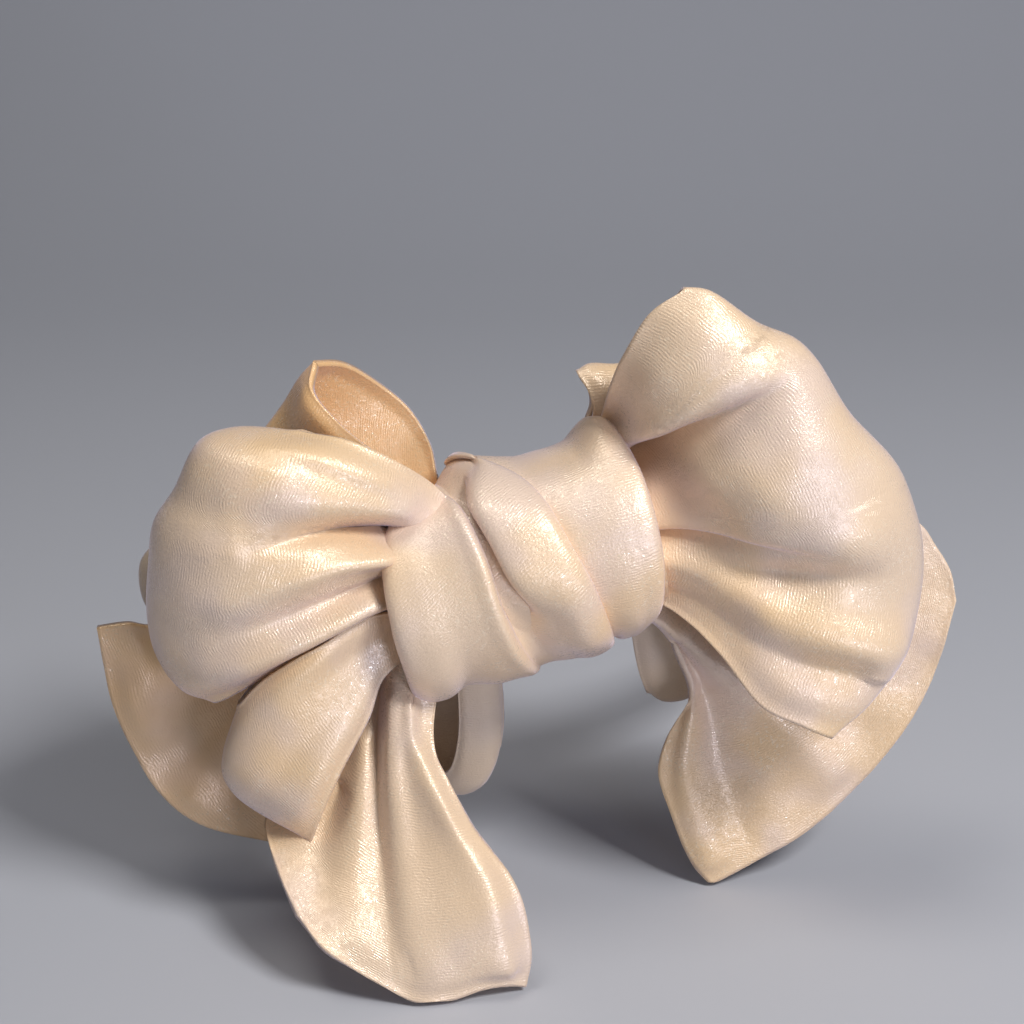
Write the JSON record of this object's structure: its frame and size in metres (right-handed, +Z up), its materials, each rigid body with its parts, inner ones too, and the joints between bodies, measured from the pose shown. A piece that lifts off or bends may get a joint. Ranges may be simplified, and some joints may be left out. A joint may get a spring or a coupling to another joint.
{
  "type": "knotted headband",
  "caption": "Satin-covered spring hoop headband with a large layered bow of soft loops and tails, gathered by a fat wrapped knot on its crown.",
  "frame": {"origin": "under the middle of the whole object, on the table it stands on", "axes": "+X along the bow, to the right seen from its front; +Y from the bow's front to the hoop's ends; +Z up"},
  "size_m": [0.181, 0.1805, 0.1385],
  "materials": {
    "satin": "crepe-backed shimmer satin, warm champagne",
    "satin_shaded": "the same satin, seen from its paler back",
    "hoop_satin": "smooth satin sleeve",
    "lining_ribbon": "ribbed lining ribbon",
    "felt": "pressed felt",
    "wadding": "polyester wadding",
    "thread": "twisted binding thread",
    "spring_steel": "plain spring strip"
  },
  "bodies": {
    "bow": {"crown_strip": "spring_steel", "crown_sleeve": "hoop_satin", "crown_lining": "lining_ribbon", "felt_pad": "felt", "keeper_strap": "hoop_satin", "gathered_waist": "satin", "binding_thread": "thread", "knot_padding": "wadding", "knot_wrap_left": "satin", "knot_wrap_right": "satin", "knot_fold": "satin", "front_left_loop": "satin", "small_left_loop": "satin", "front_right_loop": "satin", "rear_upper_left_loop": "satin", "rear_left_loop": "satin_shaded", "rear_lower_left_loop": "satin_shaded", "rear_upper_right_loop": "satin", "rear_lower_right_loop": "satin_shaded"},
    "left_leg": {"left_leg_strip": "spring_steel", "left_leg_sleeve": "hoop_satin", "left_leg_lining": "lining_ribbon", "left_end_tab": "hoop_satin"},
    "right_leg": {"right_leg_strip": "spring_steel", "right_leg_sleeve": "hoop_satin", "right_leg_lining": "lining_ribbon", "right_end_tab": "hoop_satin"},
    "left_tail": {"front_tail_left": "satin"},
    "right_tail": {"front_tail_right": "satin"},
    "side_tail": {"side_tail_left": "satin"}
  },
  "joints": [
    {"name": "left_leg_flex", "type": "hinge", "parent": "bow", "child": "left_leg", "pos_m": [-0.03881, -0.01456, 0.06114], "axis": [0, 0.4853, 0.8744], "range_deg": [-4, 12], "stiffness_Nm_per_rad": 0.8},
    {"name": "right_leg_flex", "type": "hinge", "parent": "bow", "child": "right_leg", "pos_m": [0.03231, -0.01456, 0.06114], "axis": [0, -0.4853, -0.8744], "range_deg": [-4, 12], "stiffness_Nm_per_rad": 0.8},
    {"name": "left_tail_swing", "type": "hinge", "parent": "bow", "child": "left_tail", "pos_m": [-0.02898, -0.06022, 0.05393], "axis": [1, 0, 0], "range_deg": [-4, 14], "stiffness_Nm_per_rad": 0.4},
    {"name": "right_tail_swing", "type": "hinge", "parent": "bow", "child": "right_tail", "pos_m": [0.02248, -0.03578, 0.08207], "axis": [1, 0, 0], "range_deg": [-1.5, 6], "stiffness_Nm_per_rad": 0.4},
    {"name": "side_tail_swing", "type": "hinge", "parent": "bow", "child": "side_tail", "pos_m": [-0.02898, -0.04672, 0.07493], "axis": [1, 0, 0], "range_deg": [-1.5, 6], "stiffness_Nm_per_rad": 0.2}
  ]
}
